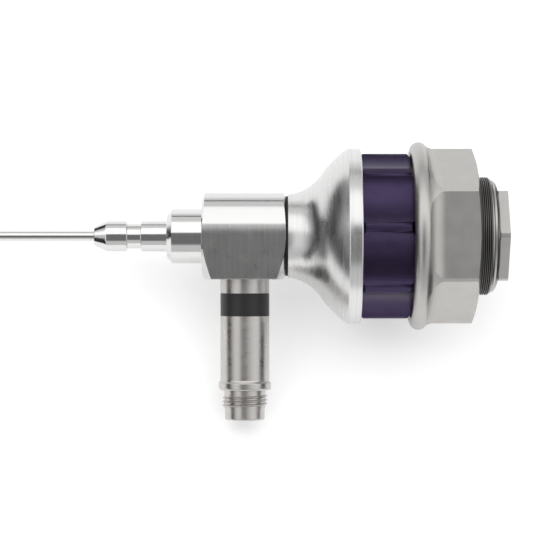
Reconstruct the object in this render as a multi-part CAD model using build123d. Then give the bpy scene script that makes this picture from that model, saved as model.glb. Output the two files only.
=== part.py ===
from build123d import *
from math import asin, atan2, cos, degrees, hypot, pi, radians, sin, sqrt
import os

# Rigid endoscope with its camera mount. Millimetres.
# It is drawn about the scope's own axis: X runs along the axis, away from the shaft's tip, the light
# post hangs along -Z, and the origin is where the two axes cross. At the end it is laid on a table.

# Fits
bond_gap = 0.02
running_gap = 0.05
loose_gap = 0.15
overrun = 1.0

# Shaft
shaft_diameter = 2.7
shaft_wall = 0.15
shaft_length = 72.5
shaft_root_rise = 0.25
view_angle = 30.0
optic_diameter = 1.9
optic_wall = 0.1

# Lenses in the shaft
window_thickness = 0.3
prism_length = 2.2
objective_length = 1.4
objective_sag = 0.12
objective_rim = 0.08
rod_lens_count = 6
rod_spacer_length = 2.0
spacer_wall = 0.18
relay_end_gap = 1.0

# Sheath lock
lock_length = 19.2
lock_radius = 4.05
lock_nose_wall = 1.12
lock_nose_length = 3.3
lock_nose_rounding = 0.3
lock_shoulder_rounding = 1.0
lock_groove_depth = 0.76
lock_groove_start = 8.6
lock_groove_width = 3.9
lock_groove_slant = 0.25
lock_spigot_step = 1.05
lock_spigot_length = 6.4
shaft_seat_length = 16.6

# Front collar
collar_length = 9.2
collar_radius = 7.18
collar_chamfer_length = 1.3
collar_chamfer_depth = 1.45
collar_spigot_radius = 5.5
collar_spigot_length = 4.0
collar_bore_gap = 0.3

# Body block
block_ahead = 11.2
block_behind = 10.85
block_half_height = 11.36
block_half_depth = 10.6
block_crown_height = 10.92
block_side_radius = 13.8
block_shoulder_radius = 7.86
block_edge_rounding = 0.35
block_end_radius = 10.3
block_end_slope = 0.5
block_cavity_radius = 4.0
block_rear_wall = 1.2

# Light post
post_radius = 6.43
post_spigot_step = 1.93
post_spigot_length = 4.86
post_neck_length = 3.64
band_width = 6.0
band_thickness = 1.43
band_spigot_length = 3.5
post_barrel_length = 19.4
post_flare_length = 2.4
post_flare_rise = 0.44
post_flare_rounding = 0.55
post_flare_hollow = 0.6
post_flare_break = 0.25
tip_radius = 5.2
tip_length = 7.9
pilot_length = 3.2
tip_wall = 1.2
tip_rounding = 0.5
tip_seat_length = 5.0
thread_root_rise = 0.2
thread_height = 0.55
thread_pitch = 1.0
thread_turns = 3.0
thread_start = 1.225
thread_start_angle = 135
thread_crest_width = 0.14
thread_root_width = 0.86
thread_sink = 0.15
fibre_end_depth = 6.0
ferrule_length = 6.0
cone_foot_radius = 3.0
cone_gap = 0.1
entry_window_thickness = 1.0
entry_window_recess = 0.4

# Light fibres
fibre_radius = 1.9
fibre_bend_radius = 8.0
fibre_taper_length = 4.0

# Bell
seal_thickness = 0.45
seal_recess = 0.35
bell_spigot_step = 2.0
bell_spigot_length = 3.4
bell_neck_radius = 10.85
bell_flare_radius = 12.05
bell_flare_lead = 1.3
bell_flare_angle = 55.2
bell_shoulder_radius = 28.1
bell_rim_radius = 23.0
bell_rim_width = 3.45
bell_rim_rounding = 0.5
bell_spigot_wall = 0.8
bell_neck_bore_length = 7.4
bell_rear_bore_length = 5.8

# Ocular group in the bell
ocular_cell_start = 0.5
ocular_cell_length = 12.0
ocular_wall_thickness = 2.0
ocular_step = 1.0
ocular_stop_depth = 2.2
ocular_lens_depth = 5.0
ocular_wall = 1.5
ocular_lens_thickness = 3.0
ocular_retainer_length = 1.6
lens_sag = 0.6
field_stop_thickness = 0.7
field_stop_hole = 2.0

# Core sleeve
core_spigot_length = 5.3
core_radius = 17.0
core_wall = 2.0
core_spigot_rise = 1.0
core_seat_step = 0.6
core_neck_radius = 13.6
core_neck_wall = 2.1
core_tail_step = 0.6
core_tail_length = 2.4
core_bore_length = 17.2

# Focus ring
ring_front_gap = 0.1
ring_length = 13.3
ring_thickness = 4.7
ring_rib_count = 8
ring_rib_angle = 5.3
ring_rib_width = 2.1
ring_scallop_radius = 14.0
ring_rib_rounding = 0.5
ring_front_chamfer = 0.6
ring_rear_chamfer_length = 1.15
ring_rear_chamfer_depth = 1.5
ring_slot_depth = 2.3

# Focus group
focus_turn = 40.0
focus_travel = 0.8
focus_cell_start = 2.6
focus_cell_length = 8.0
focus_cell_wall = 5.93
focus_lip = 0.9
focus_lip_length = 2.0
focus_lens_thickness = 3.2
focus_retainer_length = 2.2
focus_pin_radius = 1.0
focus_pin_floor = 2.18
focus_pin_engagement = 2.0

# Ring retainer
ring_retainer_step = 0.4
ring_retainer_length = 0.8
core_seat_length = 1.2

# Camera nut
nut_recess_gap = 1.2
nut_recess_lead = 0.45
nut_lip_radius = 2.2
nut_lip_rise = 1.05
nut_hub_rise = 0.5
nut_hub_fillet = 3.0
nut_length = 17.95
nut_across_flats = 40.2
nut_flat_start = 7.9
nut_flat_fillet = 4.2
nut_end_cone = 1.65
bush_length = 3.0
bush_wall = 2.35
rib_length = 3.05
rib_clearance = 0.3
rear_bore_step = 1.05
retainer_thickness = 2.0

# Camera thread and rear window
camera_thread_radius = 15.5
camera_thread_length = 2.65
camera_thread_chamfer = 0.6
camera_thread_chamfer_depth = 0.8
camera_spigot_length = 4.1
housing_radius = 14.6
housing_land = 0.5
housing_dome_length = 1.0
housing_dome_depth = 2.2
housing_dome_bulge = 0.62
housing_hex_across_flats = 23.4
housing_hex_turned_radius = 13.2
housing_hex_length = 2.5
housing_spigot_radius = 12.5
housing_spigot_depth = 1.0
housing_bore = 8.5
rear_window_step = 1.0
rear_window_thickness = 1.2
rear_window_depth = 2.0
window_retainer_thickness = 0.6

# Radii that follow
shaft_radius = shaft_diameter / 2
shaft_bore = shaft_radius - shaft_wall
shaft_root_radius = shaft_radius + shaft_root_rise
optic_radius = optic_diameter / 2
optic_offset = shaft_bore - bond_gap - optic_radius
glass_radius = optic_radius - optic_wall - bond_gap
lock_nose_radius = shaft_radius + lock_nose_wall
lock_groove_radius = lock_radius - lock_groove_depth
lock_spigot_radius = lock_radius - lock_spigot_step
crown_start = block_half_height - block_crown_height
crown_rise = block_crown_height - block_shoulder_radius
crown_turn = degrees(asin(crown_rise / (block_side_radius - block_shoulder_radius)))
crown_shoulder_y = block_half_depth - block_side_radius * (1 - cos(radians(crown_turn)))
crown_shoulder_y -= block_shoulder_radius * cos(radians(crown_turn))
collar_bore_radius = fibre_radius + collar_bore_gap
post_spigot_radius = post_radius - post_spigot_step
band_seat_radius = post_radius - band_thickness
post_flare_radius = post_radius + post_flare_rise
thread_root_radius = tip_radius + thread_root_rise
thread_crest_radius = thread_root_radius + thread_height
window_seat_radius = tip_radius - tip_wall
seal_radius = bell_neck_radius - seal_recess
bell_spigot_radius = bell_neck_radius - bell_spigot_step
bell_neck_bore = bell_spigot_radius - bell_spigot_wall
ocular_bore = bell_neck_bore - bond_gap - ocular_wall
core_spigot_radius = core_radius + core_spigot_rise
core_bore = core_radius - core_wall
core_seat_radius = core_radius - core_seat_step
core_neck_bore = core_neck_radius - core_neck_wall
core_tail_radius = core_neck_radius - core_tail_step
ring_radius = core_radius + ring_thickness
ring_rear_radius = ring_radius - ring_rear_chamfer_depth
ring_retainer_radius = ring_rear_radius - ring_retainer_step
focus_bore = core_bore - running_gap - focus_cell_wall
focus_pin_start = focus_bore + focus_pin_floor
focus_pin_reach = core_radius + focus_pin_engagement
nut_recess_radius = ring_rear_radius + nut_recess_gap
nut_lip_centre_radius = nut_recess_radius + nut_lip_rise
nut_hub_radius = nut_lip_centre_radius + nut_hub_rise
nut_apothem = nut_across_flats / 2
bush_radius = core_neck_radius + running_gap + bush_wall
rear_bore = camera_thread_radius - rear_bore_step
rear_window_radius = housing_bore + rear_window_step

# Stations along the scope's axis
block_front = -block_ahead
block_rear = block_behind
collar_front = block_front - collar_length
lock_front = collar_front - lock_length
shaft_tip = lock_front - shaft_length
bell_front = block_rear + seal_thickness
flare_centre_x = bell_front - bell_flare_lead
flare_end_x = flare_centre_x + bell_flare_radius * sin(radians(bell_flare_angle))
flare_end_radius = bell_neck_radius + bell_flare_radius * (1 - cos(radians(bell_flare_angle)))
shoulder_centre_x = flare_end_x + bell_shoulder_radius * sin(radians(bell_flare_angle))
shoulder_centre_radius = flare_end_radius - bell_shoulder_radius * cos(radians(bell_flare_angle))
rim_rise = bell_rim_radius - shoulder_centre_radius
rim_front = shoulder_centre_x - sqrt(bell_shoulder_radius**2 - rim_rise**2)
bell_rear = rim_front + bell_rim_width
ring_front = bell_rear + ring_front_gap
ring_rear = ring_front + ring_length
core_shoulder = ring_rear + ring_front_gap
core_step = core_shoulder + core_seat_length
bush_front = core_step + running_gap
rib_front = bush_front + bush_length
rib_rear = rib_front + rib_length
tail_start = rib_rear + running_gap
nut_front = ring_rear - nut_recess_lead
lip_centre_x = nut_front + nut_lip_radius
nut_rear = nut_front + nut_length
thread_end = nut_rear + camera_thread_length
housing_front = thread_end + camera_thread_chamfer
hex_front = housing_front + housing_land + housing_dome_length
hex_rear = hex_front + housing_hex_length

# Depths below the scope's axis, down the light post
post_spigot_top = block_half_height - post_spigot_length
post_neck_end = block_half_height + post_neck_length
band_end = post_neck_end + band_width
post_shoulder = band_end + post_barrel_length
post_flare_start = post_shoulder - post_flare_length
post_end = post_shoulder + tip_length
fibre_end = post_shoulder - fibre_end_depth
entry_window_top = post_end - entry_window_recess - entry_window_thickness
cone_foot = entry_window_top - cone_gap

# Places inside the body
block_seat_depth = bell_spigot_length - seal_thickness
block_cavity_end = block_rear - block_seat_depth - block_rear_wall
ocular_front = bell_front - bell_spigot_length + ocular_cell_start
ocular_floor = ocular_front + ocular_wall_thickness
ocular_seat = ocular_floor + ocular_lens_depth
focus_cell_front = bell_rear + focus_cell_start
focus_seat = focus_cell_front + focus_lip_length
focus_pitch = 360 * focus_travel / focus_turn
focus_pin_length = focus_pin_reach - focus_pin_start
pin_place = focus_cell_front + focus_cell_length / 2

# Places along the relay of lenses
prism_end = shaft_tip + prism_length
relay_start = prism_end + objective_length
relay_end = ocular_floor - relay_end_gap
rod_lens_length = (relay_end - relay_start - (rod_lens_count - 1) * rod_spacer_length) / rod_lens_count


def turned(*outline):
    """A solid turned about the scope's axis, from the corners (place along X, radius) of its section."""
    return revolve(make_face(Polyline(*outline, close=True)), Axis.X)


def turned_round(*outline):
    """The same, where each corner is (place, radius, rounding)."""
    corners = [(place, radius) for place, radius, _ in outline]
    roundings = [rounding for _, _, rounding in outline]
    return revolve(make_face(FilletPolyline(*corners, radius=roundings, close=True)), Axis.X)


def upright(*outline):
    """A solid turned about the light post's axis, from corners (depth below the scope's axis, radius)."""
    corners = [(radius, 0, -depth) for depth, radius in outline]
    return revolve(make_face(Polyline(*corners, close=True)), Axis.Z)


def rod(start, end, radius):
    """A plain round bar along the scope's axis."""
    return turned((start, 0), (end, 0), (end, radius), (start, radius))


def tube(start, end, bore, radius):
    """A plain round tube along the scope's axis."""
    return turned((start, bore), (end, bore), (end, radius), (start, radius))


def on_circle(centre, radius, angle):
    """The point of a circle at an angle in degrees."""
    return (centre[0] + radius * cos(radians(angle)), centre[1] + radius * sin(radians(angle)))


def mirrored(point):
    """The same point on the other side of a section."""
    return (-point[0], point[1])


def lens(front, thickness, radius, sag, rim):
    """A lens with both faces domed by sag inside a flat rim, which its seat and its retainer bear on."""
    clear = radius - rim
    dome = (clear**2 + sag**2) / (2 * sag)
    half_sag = dome - sqrt(dome**2 - (clear / 2) ** 2)
    rear = front + thickness
    section = [
        ThreePointArc((front, 0), (front + half_sag, clear / 2), (front + sag, clear)),
        Polyline((front + sag, clear), (front + sag, radius), (rear - sag, radius), (rear - sag, clear)),
        ThreePointArc((rear - sag, clear), (rear - half_sag, clear / 2), (rear, 0)),
        Line((rear, 0), (front, 0)),
    ]
    return revolve(make_face(section), Axis.X)


def tip_cutter(depth):
    """Everything ahead of the slanted tip face, moved back along its normal by a depth."""
    size = 8 * shaft_diameter
    block = Box(size, size, size, align=(Align.MAX, Align.CENTER, Align.CENTER))
    return Pos(shaft_tip, 0, 0) * Rot(0, view_angle, 0) * Pos(depth, 0, 0) * block


def optic(solid):
    """Puts a turned piece on the optic's own axis, which lies above the shaft's."""
    return Pos(0, 0, optic_offset) * solid


# Shaft and the relay of lenses in it


def outer_tube():
    """Thin-walled, with a thicker root where it is brazed into the lock."""
    start = shaft_tip - shaft_diameter
    end = lock_front + shaft_seat_length
    blank = turned(
        (start, shaft_bore),
        (end, shaft_bore),
        (end, shaft_root_radius),
        (lock_front, shaft_root_radius),
        (lock_front, shaft_radius),
        (start, shaft_radius),
    )
    return blank - tip_cutter(0)


def optic_tube():
    blank = tube(shaft_tip - shaft_diameter, ocular_floor, optic_radius - optic_wall, optic_radius)
    return optic(blank) - tip_cutter(0)


def distal_window():
    blank = optic(rod(shaft_tip - shaft_diameter, shaft_tip + shaft_diameter, glass_radius))
    behind = optic(rod(shaft_tip - shaft_diameter, shaft_tip + shaft_diameter, optic_radius))
    return blank - tip_cutter(0) - (behind - tip_cutter(window_thickness))


def view_prism():
    return optic(rod(shaft_tip - shaft_diameter, prism_end, glass_radius)) - tip_cutter(window_thickness)


def objective_lens():
    return optic(lens(prism_end, objective_length, glass_radius, objective_sag, objective_rim))


def rod_lens(number):
    start = relay_start + number * (rod_lens_length + rod_spacer_length)
    return optic(rod(start, start + rod_lens_length, glass_radius))


def rod_spacer(number):
    start = relay_start + (number + 1) * rod_lens_length + number * rod_spacer_length
    return optic(tube(start, start + rod_spacer_length, glass_radius - spacer_wall, glass_radius))


def fibre_bundle():
    """The fibres fill what the optic leaves of the shaft, widen in the block and turn into the post."""
    bend_start = -fibre_bend_radius
    taper_start = bend_start - fibre_taper_length
    thin = shaft_bore - bond_gap
    straight = turned(
        (shaft_tip - shaft_diameter, 0),
        (bend_start, 0),
        (bend_start, fibre_radius),
        (taper_start, thin),
        (shaft_tip - shaft_diameter, thin),
    )
    bend_path = ThreePointArc(
        (bend_start, 0, 0),
        (bend_start + fibre_bend_radius * sin(pi / 4), 0, -fibre_bend_radius * (1 - cos(pi / 4))),
        (0, 0, -fibre_bend_radius),
    )
    section = Plane(origin=(bend_start, 0, 0), z_dir=(1, 0, 0)) * Circle(fibre_radius)
    bend = sweep(section, path=bend_path)
    drop = upright(
        (fibre_bend_radius, 0),
        (fibre_end, 0),
        (fibre_end, fibre_radius),
        (fibre_bend_radius, fibre_radius),
    )
    clearance = optic(rod(shaft_tip - 2 * shaft_diameter, ocular_floor, optic_radius + bond_gap))
    return straight + bend + drop - clearance - tip_cutter(0)


# Front end


def sheath_lock():
    """The nose that a sheath pushes over, with the groove that its latch drops into."""
    groove_front = lock_front + lock_groove_start
    groove_rear = groove_front + lock_groove_width
    outside = turned_round(
        (lock_front, 0, 0),
        (lock_front, lock_nose_radius, lock_nose_rounding),
        (lock_front + lock_nose_length, lock_radius, lock_shoulder_rounding),
        (groove_front, lock_radius, 0),
        (groove_front + lock_groove_slant, lock_groove_radius, 0),
        (groove_rear - lock_groove_slant, lock_groove_radius, 0),
        (groove_rear, lock_radius, 0),
        (collar_front, lock_radius, 0),
        (collar_front, lock_spigot_radius, 0),
        (collar_front + lock_spigot_length, lock_spigot_radius, 0),
        (collar_front + lock_spigot_length, 0, 0),
    )
    shaft_seat = rod(lock_front - overrun, lock_front + shaft_seat_length, shaft_root_radius + bond_gap)
    fibre_hole = rod(lock_front, collar_front + lock_spigot_length + overrun, shaft_bore + bond_gap)
    return outside - shaft_seat - fibre_hole


def front_collar():
    spigot_end = block_front + collar_spigot_length
    lock_seat = lock_spigot_radius + bond_gap
    seat_end = collar_front + lock_spigot_length
    return turned(
        (collar_front, lock_seat),
        (collar_front, collar_radius - collar_chamfer_depth),
        (collar_front + collar_chamfer_length, collar_radius),
        (block_front, collar_radius),
        (block_front, collar_spigot_radius),
        (spigot_end, collar_spigot_radius),
        (spigot_end, collar_bore_radius),
        (seat_end, collar_bore_radius),
        (seat_end, lock_seat),
    )


def body_block():
    """Square below and arched above, its two ends turned to a shallow cone."""
    side_centre = (block_half_depth - block_side_radius, crown_start)
    shoulder_centre = (crown_shoulder_y, block_half_height - block_shoulder_radius)
    side_foot = (block_half_depth, crown_start)
    side_middle = on_circle(side_centre, block_side_radius, crown_turn / 2)
    side_top = on_circle(side_centre, block_side_radius, crown_turn)
    shoulder_middle = on_circle(shoulder_centre, block_shoulder_radius, (crown_turn + 90) / 2)
    shoulder_top = (crown_shoulder_y, block_half_height)
    feet = FilletPolyline(
        mirrored(side_foot),
        (-block_half_depth, -block_half_height),
        (block_half_depth, -block_half_height),
        side_foot,
        radius=block_edge_rounding,
    )
    crown = [
        ThreePointArc(side_foot, side_middle, side_top),
        ThreePointArc(side_top, shoulder_middle, shoulder_top),
        Line(shoulder_top, mirrored(shoulder_top)),
        ThreePointArc(mirrored(shoulder_top), mirrored(shoulder_middle), mirrored(side_top)),
        ThreePointArc(mirrored(side_top), mirrored(side_middle), mirrored(side_foot)),
    ]
    end_plane = Plane(origin=(block_front, 0, 0), x_dir=(0, 1, 0), z_dir=(1, 0, 0))
    section = end_plane * make_face([feet, *crown])
    bar = extrude(section, block_rear - block_front)
    reach = 2 * block_half_height
    cone = block_end_slope * (reach - block_end_radius)
    ends = turned(
        (block_front, 0),
        (block_front, block_end_radius),
        (block_front + cone, reach),
        (block_rear - cone, reach),
        (block_rear, block_end_radius),
        (block_rear, 0),
    )
    seat_end = block_front + collar_spigot_length
    collar_seat = rod(block_front - overrun, seat_end, collar_spigot_radius + bond_gap)
    cavity = rod(block_front, block_cavity_end, block_cavity_radius)
    bell_seat = rod(block_rear - block_seat_depth, block_rear + overrun, bell_spigot_radius + bond_gap)
    optic_hole = optic(rod(0, block_rear, optic_radius + loose_gap))
    post_bore = post_spigot_radius + bond_gap
    below = block_half_height + overrun
    post_seat = upright((0, 0), (below, 0), (below, post_bore), (0, post_bore))
    return bar & ends - collar_seat - cavity - bell_seat - optic_hole - post_seat


def block_seal():
    return tube(block_rear, bell_front, bell_spigot_radius + bond_gap, seal_radius)


# Light post


def light_post_neck():
    bore = fibre_radius + loose_gap
    return upright(
        (post_spigot_top, bore),
        (post_spigot_top, post_spigot_radius),
        (block_half_height, post_spigot_radius),
        (block_half_height, post_radius),
        (post_neck_end, post_radius),
        (post_neck_end, band_seat_radius),
        (band_end + band_spigot_length, band_seat_radius),
        (band_end + band_spigot_length, bore),
    )


def light_post_band():
    bore = band_seat_radius + bond_gap
    top = post_neck_end
    return upright((top, bore), (band_end, bore), (band_end, post_radius), (top, post_radius))


def light_post_barrel():
    neck_seat = band_seat_radius + bond_gap
    tip_bore = post_spigot_radius + bond_gap
    corners = [
        (band_end, neck_seat, 0),
        (band_end, post_radius, 0),
        (post_flare_start, post_radius, post_flare_hollow),
        (post_flare_start + post_flare_rounding, post_flare_radius, post_flare_break),
        (post_shoulder, post_flare_radius, post_flare_rounding),
        (post_shoulder, tip_bore, 0),
        (band_end + band_spigot_length, tip_bore, 0),
        (band_end + band_spigot_length, neck_seat, 0),
    ]
    outline = FilletPolyline(
        *[(radius, 0, -depth) for depth, radius, _ in corners],
        radius=[rounding for _, _, rounding in corners],
        close=True,
    )
    return revolve(make_face(outline), Axis.Z)


def cone_radius(depth):
    """The light cone's radius at a depth below the scope's axis."""
    share = (depth - fibre_end) / (cone_foot - fibre_end)
    return fibre_radius + share * (cone_foot_radius - fibre_radius)


def light_post_tip():
    """The end that the light cable screws on: a plain end below three turns of thread."""
    seat_start = post_shoulder - tip_seat_length
    corners = [
        (seat_start, cone_radius(seat_start) + loose_gap, 0),
        (seat_start, post_spigot_radius, 0),
        (post_shoulder, post_spigot_radius, 0),
        (post_shoulder, thread_root_radius, 0),
        (post_end - pilot_length, thread_root_radius, 0),
        (post_end - pilot_length, tip_radius, 0),
        (post_end, tip_radius, tip_rounding),
        (post_end, window_seat_radius, 0),
        (entry_window_top, window_seat_radius, 0),
        (entry_window_top, cone_foot_radius + loose_gap, 0),
    ]
    outline = FilletPolyline(
        *[(radius, 0, -depth) for depth, radius, _ in corners],
        radius=[rounding for _, _, rounding in corners],
        close=True,
    )
    return revolve(make_face(outline), Axis.Z) + cable_thread()


def cable_thread():
    """One ridge wound right-handed round the tip, running out into it at both ends."""
    height = thread_turns * thread_pitch
    foot = -(post_shoulder + thread_start + height)
    path = Helix(thread_pitch, height, thread_root_radius, center=(0, 0, foot), direction=(0, 0, 1))
    ridge = Polyline(
        (thread_root_radius - thread_sink, 0, foot - thread_root_width / 2),
        (thread_crest_radius, 0, foot - thread_crest_width / 2),
        (thread_crest_radius, 0, foot + thread_crest_width / 2),
        (thread_root_radius - thread_sink, 0, foot + thread_root_width / 2),
        close=True,
    )
    return Rot(0, 0, thread_start_angle) * sweep(make_face(ridge), path=path, is_frenet=True)


def fibre_ferrule():
    bore = fibre_radius + bond_gap
    top = fibre_end - ferrule_length
    outside = post_spigot_radius
    return upright((top, bore), (fibre_end, bore), (fibre_end, outside), (top, outside))


def light_cone():
    return upright(
        (fibre_end, 0),
        (cone_foot, 0),
        (cone_foot, cone_foot_radius),
        (fibre_end, fibre_radius),
    )


def light_entry_window():
    top = entry_window_top
    foot = top + entry_window_thickness
    radius = window_seat_radius - bond_gap
    return upright((top, 0), (foot, 0), (foot, radius), (top, radius))


# Bell and the ocular in it


def bell():
    """A thin flared shell: a hollow curve out of the neck, then a full one up to the rim."""
    flare_centre = (flare_centre_x, bell_neck_radius + bell_flare_radius)
    shoulder_centre = (shoulder_centre_x, shoulder_centre_radius)
    lead_angle = degrees(asin(bell_flare_lead / bell_flare_radius))
    flare_start = on_circle(flare_centre, bell_flare_radius, -90 + lead_angle)
    flare_middle = on_circle(flare_centre, bell_flare_radius, -90 + (lead_angle + bell_flare_angle) / 2)
    flare_end = on_circle(flare_centre, bell_flare_radius, -90 + bell_flare_angle)
    rim_corner = (rim_front, bell_rim_radius)
    rim_angle = degrees(atan2(rim_corner[1] - shoulder_centre[1], rim_corner[0] - shoulder_centre[0]))
    shoulder_angle = (90 + bell_flare_angle + rim_angle) / 2
    shoulder_middle = on_circle(shoulder_centre, bell_shoulder_radius, shoulder_angle)
    spigot_front = bell_front - bell_spigot_length
    cone_start = spigot_front + bell_neck_bore_length
    rear_bore_start = bell_rear - bell_rear_bore_length
    rear_bore_radius = core_spigot_radius + bond_gap
    section = [
        ThreePointArc(flare_start, flare_middle, flare_end),
        ThreePointArc(flare_end, shoulder_middle, rim_corner),
        Polyline(
            rim_corner,
            (bell_rear, bell_rim_radius),
            (bell_rear, rear_bore_radius),
            (rear_bore_start, rear_bore_radius),
            (cone_start, bell_neck_bore),
            (spigot_front, bell_neck_bore),
            (spigot_front, bell_spigot_radius),
            (bell_front, bell_spigot_radius),
            flare_start,
        ),
    ]
    shell = revolve(make_face(section), Axis.X)
    rim_edges = shell.edges().filter_by(GeomType.CIRCLE)
    rim_edges = [edge for edge in rim_edges if abs(edge.radius - bell_rim_radius) < bond_gap]
    return fillet(rim_edges, bell_rim_rounding)


def ocular_cell():
    """A stepped cup: the optic ends in its floor, and the field stop and the lens sit on its steps."""
    rear = ocular_front + ocular_cell_length
    stop_seat = ocular_floor + ocular_stop_depth
    cup = turned(
        (ocular_front, 0),
        (ocular_front, bell_neck_bore - bond_gap),
        (rear, bell_neck_bore - bond_gap),
        (rear, ocular_bore),
        (ocular_seat, ocular_bore),
        (ocular_seat, ocular_bore - ocular_step),
        (stop_seat, ocular_bore - ocular_step),
        (stop_seat, ocular_bore - 2 * ocular_step),
        (ocular_floor, ocular_bore - 2 * ocular_step),
        (ocular_floor, 0),
    )
    return cup - optic(rod(ocular_front - overrun, ocular_floor + overrun, optic_radius + bond_gap))


def field_stop():
    seat = ocular_floor + ocular_stop_depth
    return tube(seat, seat + field_stop_thickness, field_stop_hole, ocular_bore - ocular_step - bond_gap)


def ocular_lens():
    thickness = ocular_lens_thickness + lens_sag
    rim = ocular_step + loose_gap
    return lens(ocular_seat - lens_sag, thickness, ocular_bore - bond_gap, lens_sag, rim)


def ocular_retainer():
    seat = ocular_seat + ocular_lens_thickness - lens_sag
    return tube(seat, seat + ocular_retainer_length, ocular_bore - ocular_step, ocular_bore - bond_gap)


# Core sleeve, focus ring and focus group


def core_sleeve():
    """The stepped tube that carries the rear half: bell, ring, nut and retainer all sit on it."""
    front = bell_rear - core_spigot_length
    blank = turned(
        (front, core_bore),
        (front, core_spigot_radius),
        (bell_rear, core_spigot_radius),
        (bell_rear, core_radius),
        (core_shoulder, core_radius),
        (core_shoulder, core_seat_radius),
        (core_step, core_seat_radius),
        (core_step, core_neck_radius),
        (tail_start, core_neck_radius),
        (tail_start, core_tail_radius),
        (tail_start + core_tail_length, core_tail_radius),
        (tail_start + core_tail_length, core_neck_bore),
        (front + core_bore_length, core_neck_bore),
        (front + core_bore_length, core_bore),
    )
    return blank - cam_slot()


def cam_slot():
    """A helical slot through the core's wall: turning the pin along it moves the lens endways."""
    width = 2 * (focus_pin_radius + running_gap)
    middle = (core_bore + core_radius) / 2
    depth = core_radius - core_bore + 2 * overrun
    turns = 2 * focus_turn / 360
    travel = turns * focus_pitch
    path = Helix(focus_pitch, travel, middle, center=(0, 0, 0), direction=(0, 0, 1))
    cutter = make_face(
        Polyline(
            (middle - depth / 2, 0, -width / 2),
            (middle + depth / 2, 0, -width / 2),
            (middle + depth / 2, 0, width / 2),
            (middle - depth / 2, 0, width / 2),
            close=True,
        )
    )
    slot = sweep(cutter, path=path, is_frenet=True)
    hole = Pos(middle, 0, 0) * Rot(0, 90, 0) * Cylinder(width / 2, depth)
    far_hole = Pos(0, 0, travel) * Rot(0, 0, 2 * focus_turn) * hole
    centred = Rot(0, 0, -focus_turn) * Pos(0, 0, -travel / 2) * (slot + hole + far_hole)
    return Pos(pin_place, 0, 0) * Rot(0, 90, 0) * Rot(0, 0, 90) * centred


def focus_ring():
    """A finger ring: eight ribs along it, hollowed between, and a slot in its bore for the pin."""
    blank = turned(
        (ring_front, core_radius + running_gap),
        (ring_front, ring_radius - ring_front_chamfer),
        (ring_front + ring_front_chamfer, ring_radius),
        (ring_rear - ring_rear_chamfer_length, ring_radius),
        (ring_rear, ring_rear_radius),
        (ring_rear, core_radius + running_gap),
    )
    step = 360 / ring_rib_count
    rib_half_angle = degrees(asin(ring_rib_width / 2 / ring_radius))
    half_chord = ring_radius * sin(radians(step / 2 - rib_half_angle))
    chord_height = ring_radius * cos(radians(step / 2 - rib_half_angle))
    centre_height = chord_height + sqrt(ring_scallop_radius**2 - half_chord**2)
    scallop = Pos(centre_height, 0, 0) * Cylinder(ring_scallop_radius, 4 * ring_length)
    scallop = Pos((ring_front + ring_rear) / 2, 0, 0) * Rot(0, 90, 0) * Rot(0, 0, 90) * scallop
    first = ring_rib_angle + step / 2
    scallops = [Rot(first + step * number, 0, 0) * scallop for number in range(ring_rib_count)]
    slot_end = pin_place + focus_travel + focus_pin_radius + loose_gap
    slot_start = ring_front - overrun
    slot_width = 2 * (focus_pin_radius + running_gap)
    slot_top = core_radius + ring_slot_depth
    slot = Box(slot_end - slot_start, slot_top, slot_width)
    slot = Pos((slot_start + slot_end) / 2, slot_top / 2, 0) * slot
    return rounded_ribs(blank - scallops) - slot


def rounded_ribs(ring):
    """Rounds both long edges of every rib."""
    lines = ring.edges().filter_by(Axis.X)
    crests = [line for line in lines if hypot(line.center().Y, line.center().Z) > ring_radius - bond_gap]
    return fillet(crests, ring_rib_rounding)


def pin_bar(radius):
    """A round bar where the focus pin stands in the cell, pointing away from the axis."""
    bar = Cylinder(radius, focus_pin_length, align=(Align.CENTER, Align.CENTER, Align.MIN))
    return Pos(pin_place, focus_pin_reach, 0) * Rot(90, 0, 0) * bar


def focus_cell():
    rear = focus_cell_front + focus_cell_length
    outside = core_bore - running_gap
    cell = turned(
        (focus_cell_front, focus_bore - focus_lip),
        (focus_cell_front, outside),
        (rear, outside),
        (rear, focus_bore),
        (focus_seat, focus_bore),
        (focus_seat, focus_bore - focus_lip),
    )
    return cell - pin_bar(focus_pin_radius + bond_gap)


def focus_pin():
    return pin_bar(focus_pin_radius)


def focus_lens():
    thickness = focus_lens_thickness + lens_sag
    rim = focus_lip + loose_gap
    return lens(focus_seat - lens_sag, thickness, focus_bore - bond_gap, lens_sag, rim)


def focus_lens_retainer():
    seat = focus_seat + focus_lens_thickness - lens_sag
    return tube(seat, seat + focus_retainer_length, focus_bore - focus_lip, focus_bore - bond_gap)


def ring_retainer():
    rear = core_shoulder + ring_retainer_length
    return tube(core_shoulder, rear, core_seat_radius + bond_gap, ring_retainer_radius)


# Camera nut and what turns with it


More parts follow.
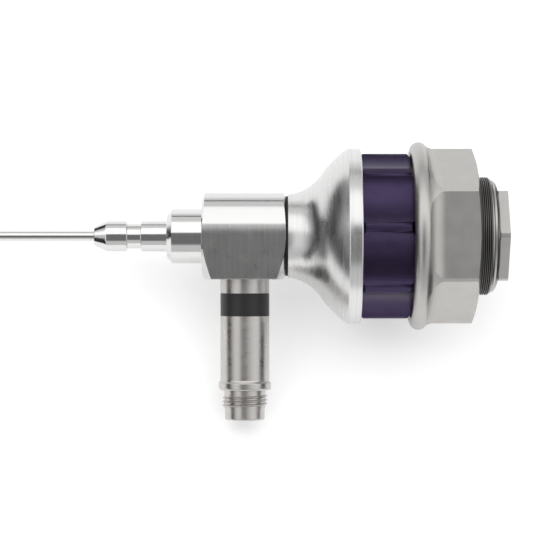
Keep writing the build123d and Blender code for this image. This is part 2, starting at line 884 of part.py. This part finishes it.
def camera_nut():
    """A hexagon with a rolled lip in front: its six flats run out in a hollow against the lip."""
    lip_centre = (lip_centre_x, nut_lip_centre_radius)
    rise = nut_hub_radius + nut_hub_fillet - nut_lip_centre_radius
    reach = nut_lip_radius + nut_hub_fillet
    fillet_centre = (lip_centre_x + sqrt(reach**2 - rise**2), nut_hub_radius + nut_hub_fillet)
    touch_angle = degrees(atan2(rise, fillet_centre[0] - lip_centre_x))
    inner_angle = 180 + degrees(asin((nut_lip_centre_radius - nut_recess_radius) / nut_lip_radius))
    lip_start = on_circle(lip_centre, nut_lip_radius, inner_angle)
    lip_top = on_circle(lip_centre, nut_lip_radius, (inner_angle + touch_angle) / 2)
    lip_end = on_circle(lip_centre, nut_lip_radius, touch_angle)
    hollow_middle = on_circle(fillet_centre, nut_hub_fillet, (180 + touch_angle + 270) / 2)
    hub_start = (fillet_centre[0], nut_hub_radius)
    cone_start = nut_rear - nut_end_cone
    section = [
        ThreePointArc(lip_start, lip_top, lip_end),
        ThreePointArc(lip_end, hollow_middle, hub_start),
        Polyline(
            hub_start,
            (cone_start, nut_hub_radius),
            (nut_rear, camera_thread_radius),
            (nut_rear, rear_bore),
            (rib_rear, rear_bore),
            (rib_rear, core_neck_radius + rib_clearance),
            (rib_front, core_neck_radius + rib_clearance),
            (rib_front, bush_radius + bond_gap),
            (bush_front, bush_radius + bond_gap),
            (bush_front, nut_recess_radius),
            lip_start,
        ),
    ]
    blank = revolve(make_face(section), Axis.X)
    return blank - [Rot(60 * number, 0, 0) * flat_cutter() for number in range(6)]


def flat_cutter():
    """What a round-nosed cutter takes off for one flat, on the side that faces -Y."""
    start = nut_front + nut_flat_start
    top = nut_hub_radius + 2 * nut_lip_radius
    left = start - nut_flat_fillet
    middle = on_circle((start, nut_apothem + nut_flat_fillet), nut_flat_fillet, 225)
    section = [
        ThreePointArc((start, nut_apothem), middle, (left, nut_apothem + nut_flat_fillet)),
        Polyline(
            (left, nut_apothem + nut_flat_fillet),
            (left, top),
            (nut_rear + overrun, top),
            (nut_rear + overrun, nut_apothem),
            (start, nut_apothem),
        ),
    ]
    face = make_face(section)
    return Rot(180, 0, 0) * extrude(face, nut_hub_radius, both=True)


def swivel_bush():
    return tube(bush_front, rib_front, core_neck_radius + running_gap, bush_radius)


def swivel_retainer():
    outside = rear_bore - loose_gap
    return tube(tail_start, tail_start + retainer_thickness, core_tail_radius + bond_gap, outside)


def camera_thread_ring():
    """Carries the camera's thread, whose fine crests are left to the finish."""
    spigot = rear_bore - bond_gap
    return turned(
        (nut_rear - camera_spigot_length, housing_spigot_radius + bond_gap),
        (nut_rear - camera_spigot_length, spigot),
        (nut_rear, spigot),
        (nut_rear, camera_thread_radius),
        (thread_end, camera_thread_radius),
        (housing_front, camera_thread_radius - camera_thread_chamfer_depth),
        (housing_front, housing_spigot_radius + bond_gap),
    )


def window_housing():
    """The rear cap: a domed flange and a small hexagon for the key that tightens it."""
    dome_end = housing_radius - housing_dome_depth
    land_end = housing_front + housing_land
    window_seat = hex_rear - rear_window_depth
    spigot_front = nut_rear - housing_spigot_depth
    bulge_length = housing_dome_length * housing_dome_bulge
    bulge_depth = housing_dome_depth * housing_dome_bulge
    flange = [
        Line((land_end, housing_radius), (housing_front, housing_radius)),
        Polyline(
            (housing_front, housing_radius),
            (housing_front, housing_spigot_radius),
            (spigot_front, housing_spigot_radius),
            (spigot_front, housing_bore),
            (hex_front, housing_bore),
            (hex_front, dome_end),
        ),
        ThreePointArc(
            (hex_front, dome_end),
            (land_end + bulge_length, dome_end + bulge_depth),
            (land_end, housing_radius),
        ),
    ]
    body = revolve(make_face(flange), Axis.X)
    hex_plane = Plane(origin=(hex_front, 0, 0), x_dir=(0, 1, 0), z_dir=(1, 0, 0))
    hexagon = hex_plane * RegularPolygon(housing_hex_across_flats / 2, 6, major_radius=False)
    head = extrude(hexagon, housing_hex_length) & rod(hex_front, hex_rear, housing_hex_turned_radius)
    bore = rod(hex_front - overrun, hex_rear, housing_bore)
    window_bore = rod(window_seat, hex_rear + overrun, rear_window_radius + bond_gap)
    return body + head - bore - window_bore


def rear_window():
    seat = hex_rear - rear_window_depth
    return rod(seat, seat + rear_window_thickness, rear_window_radius)


def window_retainer():
    seat = hex_rear - rear_window_depth + rear_window_thickness
    return tube(seat, seat + window_retainer_thickness, housing_bore, rear_window_radius)


# Laying it down


def circle_angle(along, across, reach):
    """The angle t near zero for which along * sin(t) + across * cos(t) = reach."""
    size = hypot(along, across)
    if along > 0:
        return asin(reach / size) - atan2(across, along)
    return atan2(across, -along) - asin(reach / size)


def resting_place():
    """Where it comes to rest on a table: on the nut's lip, the bell's rim and the end of the post."""
    rim_x = rim_front + bell_rim_rounding
    rim_radius = bell_rim_radius - bell_rim_rounding
    pitch = circle_angle(
        lip_centre_x - rim_x,
        nut_lip_centre_radius - rim_radius,
        bell_rim_rounding - nut_lip_radius,
    )
    height = rim_x * sin(pitch) + rim_radius * cos(pitch) + bell_rim_rounding
    foot_radius = tip_radius - tip_rounding
    roll = circle_angle(tip_rounding - post_end, foot_radius, height - tip_rounding)
    down = Vector(sin(pitch), sqrt(cos(pitch) ** 2 - sin(roll) ** 2), sin(roll))
    along = Vector(1, 0, 0) + down * -sin(pitch)
    table = Plane(origin=(0, 0, 0), x_dir=along, z_dir=down * -1)
    return Pos(0, 0, height) * table.location.inverse()


def centred_on_table(pieces):
    """Moves the laid-down pieces until the middle of their box stands over the origin."""
    boxes = [piece.bounding_box() for piece in pieces.values()]
    middle_x = (min(box.min.X for box in boxes) + max(box.max.X for box in boxes)) / 2
    middle_y = (min(box.min.Y for box in boxes) + max(box.max.Y for box in boxes)) / 2
    return {name: Pos(-middle_x, -middle_y, 0) * piece for name, piece in pieces.items()}


def whole_scope():
    """Every piece by name, about the scope's own axis."""
    pieces = {
        "outer_tube": outer_tube(),
        "optic_tube": optic_tube(),
        "distal_window": distal_window(),
        "view_prism": view_prism(),
        "objective_lens": objective_lens(),
        "fibre_bundle": fibre_bundle(),
        "sheath_lock": sheath_lock(),
        "front_collar": front_collar(),
        "body_block": body_block(),
        "block_seal": block_seal(),
        "light_post_neck": light_post_neck(),
        "light_post_band": light_post_band(),
        "light_post_barrel": light_post_barrel(),
        "light_post_tip": light_post_tip(),
        "fibre_ferrule": fibre_ferrule(),
        "light_cone": light_cone(),
        "light_entry_window": light_entry_window(),
        "bell": bell(),
        "ocular_cell": ocular_cell(),
        "field_stop": field_stop(),
        "ocular_lens": ocular_lens(),
        "ocular_retainer": ocular_retainer(),
        "core_sleeve": core_sleeve(),
        "focus_ring": focus_ring(),
        "focus_cell": focus_cell(),
        "focus_pin": focus_pin(),
        "focus_lens": focus_lens(),
        "focus_lens_retainer": focus_lens_retainer(),
        "ring_retainer": ring_retainer(),
        "camera_nut": camera_nut(),
        "swivel_bush": swivel_bush(),
        "swivel_retainer": swivel_retainer(),
        "camera_thread_ring": camera_thread_ring(),
        "window_housing": window_housing(),
        "rear_window": rear_window(),
        "window_retainer": window_retainer(),
    }
    for number in range(rod_lens_count):
        pieces[f"rod_lens_{number + 1}"] = rod_lens(number)
    for number in range(rod_lens_count - 1):
        pieces[f"rod_spacer_{number + 1}"] = rod_spacer(number)
    return pieces


def main():
    place = resting_place()
    laid = {name: place * piece for name, piece in whole_scope().items()}
    os.makedirs("parts", exist_ok=True)
    for name, piece in centred_on_table(laid).items():
        export_step(piece, f"parts/{name}.step")


main()
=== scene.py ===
import math

import bmesh
import bpy
from mathutils import Matrix, Vector


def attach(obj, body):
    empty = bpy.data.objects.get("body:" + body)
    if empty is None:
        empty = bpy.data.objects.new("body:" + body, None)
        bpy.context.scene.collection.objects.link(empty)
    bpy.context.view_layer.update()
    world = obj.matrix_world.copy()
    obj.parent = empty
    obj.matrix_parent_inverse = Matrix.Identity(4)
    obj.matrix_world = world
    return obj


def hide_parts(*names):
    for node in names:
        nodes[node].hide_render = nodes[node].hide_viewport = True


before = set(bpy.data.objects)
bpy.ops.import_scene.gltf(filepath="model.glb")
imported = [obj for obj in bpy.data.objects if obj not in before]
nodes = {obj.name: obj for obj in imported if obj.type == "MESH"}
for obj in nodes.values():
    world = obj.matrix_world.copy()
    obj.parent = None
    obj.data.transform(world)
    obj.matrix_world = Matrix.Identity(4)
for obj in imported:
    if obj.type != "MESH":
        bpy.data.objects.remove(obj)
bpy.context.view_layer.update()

# The scope lies on its nut, its bell and the end of its light post. Its own axes, in the row's frame:
# along runs from the shaft's tip to the camera nut, across points away from the light post, and away
# points from the camera through the scope. They meet where the light post's axis crosses the scope's.
along = Vector((0.995835185, 0.0, 0.091171726))
away = Vector((0.086225252, 0.324908309, -0.941806666))
across = Vector((-0.029622451, 0.945745521, 0.323555126))
# The camera's place, and how far it stands from where the axes meet, in metres
camera_place = Vector((-0.02086084, -0.17822276, 0.54575427))
camera_distance = 0.560
camera_towards_nut = 0.00568
camera_towards_post = 0.008
crossing = camera_place - along * camera_towards_nut + away * camera_distance
crossing += across * camera_towards_post
# From millimetres on the scope's own axes to the row's metres
scope_turn = Matrix((along, away, across))
scope_to_row = Matrix.Translation(crossing) @ (scope_turn.transposed() * 0.001).to_4x4()

# Millimetres in front of or behind the scope's axis over which the block's polish turns to brushing
flat_side_starts = (10.30, 10.40)
# Millimetres out from the scope's axis over which the thread's black turns to a painted highlight, a
# bright metal colour on the crests for the light they catch
painted_crest_highlight_radius = (15.36, 15.47)

# The focus ring is set round by this much, to where its ribs stand, and shows an edge from this angle on.
ring_set_degrees = -10.2
ring_edge_degrees = 24

# Camera thread and the washer behind it, in millimetres along the scope and out from its axis
nut_rear = 61.196
thread_foot = 57.096
thread_end = 63.696
thread_bore = 12.52
thread_foot_radius = 14.43
thread_crest = 15.5
thread_root = 15.15
thread_pitch = 0.5
thread_crests = 5
washer_front = 63.706
washer_rear = 64.436
lathe_steps = 128

# Studio: greys from 0 to 1, the floor's own glow, and the share of the light that the curtain takes
floor_white = 0.82
floor_glow = 0.42
screen_black = 0.02
curtain_share = 0.76

# Brightness by degrees up from the camera's own direction: long soft boxes, with a thin black gap
height_bands = [
    (-180, 0.65),
    (-110, 0.55),
    (-60, 0.7),
    (-15, 0.72),
    (-14, 0.17),
    (12.5, 0.17),
    (13.5, 1.5),
    (61, 1.45),
    (63, 0.83),
    (88.5, 0.83),
    (89.5, 0.02),
    (94, 0.02),
    (95, 0.9),
    (180, 0.75),
]
# Brightness by degrees round to the nut's side of the camera's direction: tall screens beside the camera
turn_bands = [
    (-180, 0.5),
    (-128, 0.5),
    (-116, 0.9),
    (-76, 0.9),
    (-62, 0.55),
    (-45, 0.95),
    (-24, 0.95),
    (-17, 0.18),
    (5, 0.2),
    (12, 0.43),
    (22, 0.62),
    (28, 0.75),
    (50, 0.95),
    (70, 0.9),
    (88, 0.6),
    (96, 0.5),
    (112, 0.45),
    (130, 0.45),
    (180, 0.5),
]
# The share that the tall screens have, by degrees up; the long boxes have the rest
level_bands = [(-42, 0), (-34, 1), (13, 1), (14, 0)]
# A dark curtain on the shaft's side, by degrees round and by degrees of rise
curtain_turn_bands = [(-128, 0), (-116, 1), (-73, 1), (-62, 0)]
curtain_rise_bands = [(-39, 0), (-33, 1), (33, 1), (39, 0)]


# Shader wiring


class Wiring:
    """Adds nodes to a material's or a world's tree and joins them."""

    def __init__(self, tree):
        self.tree = tree

    def add(self, kind, **settings):
        node = self.tree.nodes.new(kind)
        for key, value in settings.items():
            setattr(node, key, value)
        return node

    def join(self, source, target):
        self.tree.links.new(source, target)

    def feed(self, node, values):
        """Sets or joins a node's inputs in their order."""
        for slot, value in enumerate(values):
            if isinstance(value, (int, float)):
                node.inputs[slot].default_value = value
            elif value is not None:
                self.join(value, node.inputs[slot])
        return node.outputs[0]

    def math(self, operation, first, second=None):
        return self.feed(self.add("ShaderNodeMath", operation=operation), (first, second))

    def vector(self, x, y, z):
        return self.feed(self.add("ShaderNodeCombineXYZ"), (x, y, z))

    def distance(self, side, top):
        """How far a point is from an axis, from its two places beside it."""
        squares = self.math("ADD", self.math("MULTIPLY", side, side), self.math("MULTIPLY", top, top))
        return self.math("SQRT", squares)

    def bands(self, angle, stops):
        """Brightness against an angle in radians, from stops of degrees and brightness up to 2."""
        node = self.add("ShaderNodeValToRGB")
        ramp = node.color_ramp
        ramp.interpolation = "LINEAR"
        while len(ramp.elements) > 1:
            ramp.elements.remove(ramp.elements[-1])
        for number, (degrees, level) in enumerate(stops):
            place = degrees / 360 + 0.5
            element = ramp.elements.new(place) if number else ramp.elements[0]
            element.position = place
            element.color = (level / 2,) * 3 + (1,)
        share_of_turn = self.math("ADD", self.math("DIVIDE", angle, 2 * math.pi), 0.5)
        self.join(share_of_turn, node.inputs[0])
        return self.math("MULTIPLY", node.outputs[0], 2.0)


class Finish(Wiring):
    """A material under construction, with the scope's own millimetres as its coordinates."""

    def __init__(self, name):
        self.material = bpy.data.materials.new(name)
        self.material.use_nodes = True
        super().__init__(self.material.node_tree)
        self.shader = self.tree.nodes["Principled BSDF"]
        # X along the scope, Y away from the camera, Z away from the light post, from where they cross
        mapping = self.add("ShaderNodeMapping", vector_type="POINT")
        mapping.inputs["Location"].default_value = scope_turn @ crossing * -1000
        mapping.inputs["Rotation"].default_value = scope_turn.to_euler()
        mapping.inputs["Scale"].default_value = (1000, 1000, 1000)
        self.join(self.add("ShaderNodeTexCoord").outputs["Object"], mapping.inputs["Vector"])
        self.place = mapping.outputs[0]
        parts = self.add("ShaderNodeSeparateXYZ")
        self.join(self.place, parts.inputs[0])
        self.x, self.y, self.z = parts.outputs

    def lathe_vector(self, axis, fine, round_share):
        """Coordinates that change fast along the turning axis and slowly round it, for turning marks."""
        if axis == "X":
            length, side, top = self.x, self.y, self.z
        else:
            length, side, top = self.z, self.x, self.y
        return self.vector(
            self.math("MULTIPLY", length, fine),
            self.math("MULTIPLY", self.distance(side, top), fine),
            self.math("MULTIPLY", self.math("ARCTAN2", top, side), round_share),
        )

    def brush_vector(self, across_strokes, along_strokes):
        """Coordinates for strokes that run up and down the scope."""
        return self.vector(
            self.math("MULTIPLY", self.x, across_strokes),
            self.y,
            self.math("MULTIPLY", self.z, along_strokes),
        )

    def noise(self, vector, scale=1.0, detail=3.0, roughness=0.6):
        node = self.add("ShaderNodeTexNoise", noise_dimensions="3D")
        node.inputs["Scale"].default_value = scale
        node.inputs["Detail"].default_value = detail
        node.inputs["Roughness"].default_value = roughness
        self.join(vector, node.inputs["Vector"])
        return node.outputs["Fac"]

    def cloud(self, vector, scale=1.0):
        """Slow changes."""
        return self.noise(vector, scale, detail=2.0, roughness=0.55)

    def spread(self, value, low, high, from_low=0.3, from_high=0.7):
        node = self.add("ShaderNodeMapRange")
        node.inputs["From Min"].default_value = from_low
        node.inputs["From Max"].default_value = from_high
        node.inputs["To Min"].default_value = low
        node.inputs["To Max"].default_value = high
        self.join(value, node.inputs["Value"])
        return node.outputs["Result"]

    def tint(self, share, none, full):
        """A colour between two, each of them three channels or another node's colour."""
        node = self.add("ShaderNodeMix", data_type="RGBA")
        for socket, colour in (("A", none), ("B", full)):
            if isinstance(colour, tuple):
                node.inputs[socket].default_value = (*colour, 1)
            else:
                self.join(colour, node.inputs[socket])
        self.join(share, node.inputs["Factor"])
        return node.outputs["Result"]

    def colour(self, source):
        self.join(source, self.shader.inputs["Base Color"])

    def set(self, **values):
        for key, value in values.items():
            self.shader.inputs[key.replace("_", " ")].default_value = value

    def rough(self, source):
        self.join(source, self.shader.inputs["Roughness"])

    def relief(self, height, depth_mm):
        """Bump from a height between 0 and 1, as deep as the real marks."""
        bump = self.add("ShaderNodeBump")
        bump.inputs["Strength"].default_value = 1.0
        bump.inputs["Distance"].default_value = depth_mm / 1000
        self.join(height, bump.inputs["Height"])
        self.join(bump.outputs[0], self.shader.inputs["Normal"])


# Finishes


def turned_steel(name, colour, axis, roughness, mark_depth, line_share=0.05):
    """Steel off the lathe: rings of very fine marks, a few broader ones, and slow changes of polish."""
    finish = Finish(name)
    marks = finish.noise(finish.lathe_vector(axis, 14.0, 1.2), detail=4.0, roughness=0.65)
    lines = finish.noise(finish.lathe_vector(axis, 3.2, 0.5), detail=2.0, roughness=0.6)
    cloud = finish.cloud(finish.lathe_vector(axis, 0.8, 1.5))
    dark = tuple(channel * (1 - line_share) for channel in colour)
    finish.colour(finish.tint(finish.spread(lines, 0, 1), dark, colour))
    finish.set(Metallic=1.0)
    finish.rough(finish.spread(cloud, roughness * 0.85, roughness * 1.15))
    finish.relief(marks, mark_depth)
    return finish.material


def block_steel():
    """Polished above and at its ends; its flat sides are brushed up and down, and darker."""
    finish = Finish("block_steel")
    flat = finish.spread(finish.math("ABSOLUTE", finish.y), 0, 1, *flat_side_starts)
    fine = finish.noise(finish.brush_vector(9.0, 0.2), detail=4.0, roughness=0.7)
    broad = finish.noise(finish.brush_vector(2.6, 0.06), detail=3.0, roughness=0.7)
    strokes = finish.math("MULTIPLY", finish.math("ADD", fine, broad), 0.5)
    cloud = finish.cloud(finish.place, 0.35)
    stroke_light = finish.math("MULTIPLY", finish.spread(broad, 0, 1), 0.25)
    darkened = finish.math("MULTIPLY", finish.math("SUBTRACT", 1.0, stroke_light), flat)
    shade = finish.math("SUBTRACT", 1.0, darkened)
    finish.colour(finish.tint(shade, (0.36, 0.36, 0.357), (0.66, 0.66, 0.655)))
    finish.set(Metallic=1.0)
    polish = finish.spread(cloud, 0.13, 0.17)
    finish.rough(finish.math("ADD", polish, finish.math("MULTIPLY", flat, 0.14)))
    finish.relief(finish.math("MULTIPLY", strokes, flat), 0.02)
    return finish.material


def satin_nut_steel():
    """Fine blasted steel, faintly warm."""
    finish = Finish("satin_nut_steel")
    grain = finish.noise(finish.place, 6.0)
    cloud = finish.cloud(finish.place, 0.25)
    finish.colour(finish.tint(finish.spread(cloud, 0, 1), (0.455, 0.442, 0.428), (0.49, 0.476, 0.462)))
    finish.set(Metallic=1.0)
    finish.rough(finish.spread(cloud, 0.34, 0.38))
    finish.relief(grain, 0.003)
    return finish.material


def violet_anodised():
    """Dark violet anodising over fine turned aluminium."""
    finish = Finish("violet_anodised")
    grain = finish.noise(finish.place, 5.0)
    cloud = finish.cloud(finish.place, 0.3)
    finish.colour(finish.tint(finish.spread(cloud, 0, 1), (0.044, 0.032, 0.072), (0.051, 0.038, 0.082)))
    finish.set(Metallic=1.0)
    finish.rough(finish.spread(grain, 0.27, 0.36))
    finish.relief(grain, 0.002)
    return finish.material


def black_anodised():
    """Black over aluminium; on the camera thread the crests carry a painted highlight, coloured bright
    metal.
    """
    finish = Finish("black_anodised")
    grain = finish.noise(finish.place, 5.0)
    crest_highlight = finish.spread(finish.distance(finish.y, finish.z), 0, 1, *painted_crest_highlight_radius)
    black = finish.tint(grain, (0.020, 0.020, 0.021), (0.032, 0.032, 0.033))
    # Painted highlight: past the crest radius the black turns to a light metal colour for the light the
    # thread's crests catch.
    finish.colour(finish.tint(crest_highlight, black, (0.24, 0.235, 0.23)))
    finish.set(Metallic=0.6)
    finish.rough(finish.spread(grain, 0.30, 0.42))
    return finish.material


def moulded_black(name, grain_scale, light, roughness_range, grain_depth):
    """The band on the light post and the seal behind the block."""
    finish = Finish(name)
    grain = finish.noise(finish.place, grain_scale)
    finish.colour(finish.tint(grain, (0.010, 0.010, 0.010), (light, light, light)))
    finish.rough(finish.spread(grain, *roughness_range))
    finish.relief(grain, grain_depth)
    return finish.material


def bearing_bronze():
    finish = Finish("bearing_bronze")
    grain = finish.noise(finish.place, 4.0, detail=4.0, roughness=0.7)
    finish.colour(finish.tint(grain, (0.42, 0.27, 0.12), (0.62, 0.43, 0.21)))
    finish.set(Metallic=1.0)
    finish.rough(finish.spread(grain, 0.35, 0.55))
    return finish.material


def optical_glass():
    """Coated glass: clear, with the faint blue-green of its coating."""
    finish = Finish("optical_glass")
    finish.colour(finish.tint(finish.cloud(finish.place, 0.4), (0.86, 0.95, 0.97), (0.93, 0.98, 0.99)))
    finish.set(Roughness=0.02, IOR=1.52, Transmission_Weight=1.0)
    return finish.material


def light_fibre():
    """Ends of hair-thin glass fibres, packed close."""
    finish = Finish("light_fibre")
    cells = finish.add("ShaderNodeTexVoronoi", voronoi_dimensions="3D")
    cells.inputs["Scale"].default_value = 16.0
    finish.join(finish.place, cells.inputs["Vector"])
    from_middle = cells.outputs["Distance"]
    edge = finish.spread(from_middle, 0, 1, 0.1, 0.6)
    finish.colour(finish.tint(edge, (0.90, 0.88, 0.80), (0.30, 0.29, 0.26)))
    finish.rough(finish.spread(from_middle, 0.15, 0.4, 0.1, 0.6))
    return finish.material


shaft_steel = turned_steel("shaft_steel", (0.72, 0.72, 0.71), "X", 0.14, 0.0015)
bell_steel = turned_steel("bell_steel", (0.69, 0.69, 0.685), "X", 0.26, 0.005, 0.10)
collar_steel = turned_steel("collar_steel", (0.71, 0.71, 0.705), "X", 0.13, 0.003)
post_steel = turned_steel("post_steel", (0.57, 0.552, 0.535), "Z", 0.30, 0.0005, 0.02)
inner_steel = turned_steel("inner_steel", (0.55, 0.55, 0.54), "X", 0.30, 0.006)
nut_finish = satin_nut_steel()
violet_finish = violet_anodised()
black_finish = black_anodised()
glass_finish = optical_glass()

finish_of = {
    "outer_tube": shaft_steel,
    "sheath_lock": collar_steel,
    "front_collar": collar_steel,
    "body_block": block_steel(),
    "block_seal": moulded_black("seal_rubber", 7.0, 0.018, (0.55, 0.75), 0.01),
    "light_post_neck": post_steel,
    "light_post_band": moulded_black("black_band", 8.0, 0.016, (0.36, 0.48), 0.006),
    "light_post_barrel": post_steel,
    "light_post_tip": post_steel,
    "bell": bell_steel,
    "focus_ring": violet_finish,
    "camera_nut": nut_finish,
    "camera_thread_ring": black_finish,
    "window_housing": nut_finish,
    "swivel_bush": bearing_bronze(),
    "fibre_bundle": light_fibre(),
    "ocular_cell": black_finish,
    "field_stop": black_finish,
    "ocular_retainer": black_finish,
    "focus_cell": black_finish,
    "focus_lens_retainer": black_finish,
    "ring_retainer": black_finish,
    "distal_window": glass_finish,
    "view_prism": glass_finish,
    "objective_lens": glass_finish,
    "light_cone": glass_finish,
    "light_entry_window": glass_finish,
    "ocular_lens": glass_finish,
    "focus_lens": glass_finish,
    "rear_window": glass_finish,
}
for name, piece in nodes.items():
    plain_finish = glass_finish if name.startswith("rod_lens") else inner_steel
    piece.data.materials.clear()
    piece.data.materials.append(finish_of.get(name, plain_finish))


# Pieces made here


def placed(name, form, finish):
    """A piece from a finished form, with its place in its mesh."""
    mesh = bpy.data.meshes.new(name)
    form.to_mesh(mesh)
    form.free()
    mesh.materials.append(finish)
    piece = bpy.data.objects.new(name, mesh)
    bpy.context.scene.collection.objects.link(piece)
    return piece


def focus_ring_as_set():
    """The ring, turned about the scope's axis to where its ribs stand."""
    form = bmesh.new()
    form.from_mesh(nodes["focus_ring"].data)
    bmesh.ops.remove_doubles(form, verts=form.verts, dist=1e-6)
    turn = Matrix.Rotation(math.radians(ring_set_degrees), 3, along)
    bmesh.ops.rotate(form, verts=form.verts, cent=crossing, matrix=turn)
    for face in form.faces:
        face.smooth = True
    piece = placed("focus_ring_ribbed", form, violet_finish)
    piece.data.set_sharp_from_angle(angle=math.radians(ring_edge_degrees))
    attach(piece, "focus_ring")
    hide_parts("focus_ring")


def turned_piece(name, outline, body, finish):
    """A closed ring spun about the scope's axis, from its section's corners (place along it, radius)."""
    form = bmesh.new()
    corners = [form.verts.new((x, -radius, 0)) for x, radius in outline]
    sides = [form.edges.new(pair) for pair in zip(corners, corners[1:] + corners[:1])]
    bmesh.ops.spin(
        form,
        geom=corners + sides,
        cent=(0, 0, 0),
        axis=(1, 0, 0),
        angle=2 * math.pi,
        steps=lathe_steps,
        use_merge=True,
    )
    bmesh.ops.recalc_face_normals(form, faces=form.faces)
    bmesh.ops.transform(form, matrix=scope_to_row, verts=form.verts)
    piece = placed(name, form, finish)
    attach(piece, body)
    return piece


def camera_thread_outline():
    """The black ring's section, with the fine thread's crests and roots along its outside."""
    outline = [
        (thread_foot, thread_bore),
        (thread_foot, thread_foot_radius),
        (nut_rear, thread_foot_radius),
        (nut_rear, thread_root),
    ]
    for turn in range(thread_crests):
        start = nut_rear + 0.04 + turn * thread_pitch
        outline += [
            (start, thread_root),
            (start + 0.17, thread_crest),
            (start + 0.25, thread_crest),
            (start + 0.42, thread_root),
        ]
    return outline + [(thread_end, thread_root), (thread_end, thread_bore)]


def washer_outline():
    """A thin steel washer between the thread and the rear cap, its edge rounded over to meet the cap."""
    return [
        (washer_front, thread_bore),
        (washer_front, 15.12),
        (washer_front + 0.12, 15.2),
        (washer_front + 0.4, 15.08),
        (washer_rear, 14.74),
        (washer_rear, thread_bore),
    ]


focus_ring_as_set()
thread_ring = turned_piece(
    "camera_thread_crests",
    camera_thread_outline(),
    "camera_mount",
    black_finish,
)
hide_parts("camera_thread_ring")
turned_piece("housing_washer", washer_outline(), "camera_mount", nut_finish)


# Studio


def dark_screen(name, place, width, height):
    """A low black card across the scope's line, out of the picture, for the steel to reflect."""
    spot = scope_to_row @ Vector((place, 0, 0))
    form = bmesh.new()
    bmesh.ops.create_grid(form, x_segments=1, y_segments=1, size=0.5)
    bmesh.ops.scale(form, verts=form.verts, vec=(height, width, 1))
    upright = Matrix.Rotation(math.pi / 2, 3, "Y")
    bmesh.ops.rotate(form, verts=form.verts, cent=(0, 0, 0), matrix=upright)
    bmesh.ops.translate(form, verts=form.verts, vec=(spot.x, spot.y, height / 2))
    material = bpy.data.materials.new("screen_black")
    material.use_nodes = True
    shader = material.node_tree.nodes["Principled BSDF"]
    shader.inputs["Base Color"].default_value = (screen_black, screen_black, screen_black, 1)
    shader.inputs["Roughness"].default_value = 0.95
    screen = placed(name, form, material)
    screen.visible_camera = False
    screen.visible_diffuse = False
    screen.visible_shadow = False


def studio_floor():
    """A white sheet that the scope lies on. It glows for the camera and for what metal and glass show."""
    form = bmesh.new()
    bmesh.ops.create_grid(form, x_segments=1, y_segments=1, size=6.0)
    material = bpy.data.materials.new("floor_white")
    material.use_nodes = True
    wiring = Wiring(material.node_tree)
    shader = wiring.tree.nodes["Principled BSDF"]
    shader.inputs["Base Color"].default_value = (floor_white, floor_white, floor_white, 1)
    shader.inputs["Roughness"].default_value = 0.9
    shader.inputs["Specular IOR Level"].default_value = 0.0
    rays = wiring.add("ShaderNodeLightPath").outputs
    seen = wiring.math("MAXIMUM", rays["Is Camera Ray"], rays["Is Glossy Ray"])
    seen = wiring.math("MAXIMUM", seen, rays["Is Transmission Ray"])
    shader.inputs["Emission Color"].default_value = (1, 1, 1, 1)
    wiring.join(wiring.math("MULTIPLY", seen, floor_glow), shader.inputs["Emission Strength"])
    floor = placed("floor", form, material)


def studio_light():
    """Soft boxes and dark screens round the scope, as bands of the world seen along its own axes."""
    world = bpy.data.worlds.new("studio")
    bpy.context.scene.world = world
    world.use_nodes = True
    wiring = Wiring(world.node_tree)
    background = wiring.tree.nodes["Background"]
    background.inputs["Color"].default_value = (1, 1, 1, 1)
    direction = wiring.add("ShaderNodeTexCoord").outputs["Generated"]

    def reach(axis):
        """How far the direction points along an axis."""
        node = wiring.add("ShaderNodeVectorMath", operation="DOT_PRODUCT")
        wiring.join(direction, node.inputs[0])
        node.inputs[1].default_value = axis
        return node.outputs["Value"]

    towards = reach(away * -1)
    up = reach(across)
    height = wiring.math("ARCTAN2", up, towards)
    turn = wiring.math("ARCTAN2", reach(along), towards)
    rise = wiring.math("ARCSINE", up)
    level = wiring.bands(height, level_bands)
    brightness = wiring.math(
        "ADD",
        wiring.math("MULTIPLY", wiring.bands(height, height_bands), wiring.math("SUBTRACT", 1.0, level)),
        wiring.math("MULTIPLY", wiring.bands(turn, turn_bands), level),
    )
    curtain = wiring.math(
        "MULTIPLY",
        wiring.bands(turn, curtain_turn_bands),
        wiring.bands(rise, curtain_rise_bands),
    )
    passed = wiring.math("SUBTRACT", 1.0, wiring.math("MULTIPLY", curtain, curtain_share))
    brightness = wiring.math("MULTIPLY", brightness, passed)
    # The camera itself sees plain white past the floor's edge.
    shown = wiring.add("ShaderNodeMix", data_type="FLOAT")
    wiring.join(wiring.add("ShaderNodeLightPath").outputs["Is Camera Ray"], shown.inputs[0])
    wiring.join(brightness, shown.inputs[2])
    shown.inputs[3].default_value = 1.0
    wiring.join(shown.outputs[0], background.inputs["Strength"])


dark_screen("shaft_end_screen", -116, 0.30, 0.05)
dark_screen("nut_end_screen", 90, 0.12, 0.045)
studio_floor()
studio_light()


# Camera

camera_data = bpy.data.cameras.new("camera")
camera_data.lens = 143.86
camera_data.sensor_width = 36.0
camera_data.clip_start = 0.01
camera = bpy.data.objects.new("camera", camera_data)
bpy.context.scene.collection.objects.link(camera)
camera_turn = Matrix((along, across, -away)).transposed().to_4x4()
camera.matrix_world = Matrix.Translation(camera_place) @ camera_turn
bpy.context.scene.camera = camera
bpy.context.scene.view_settings.view_transform = "Standard"

bpy.context.view_layer.update()
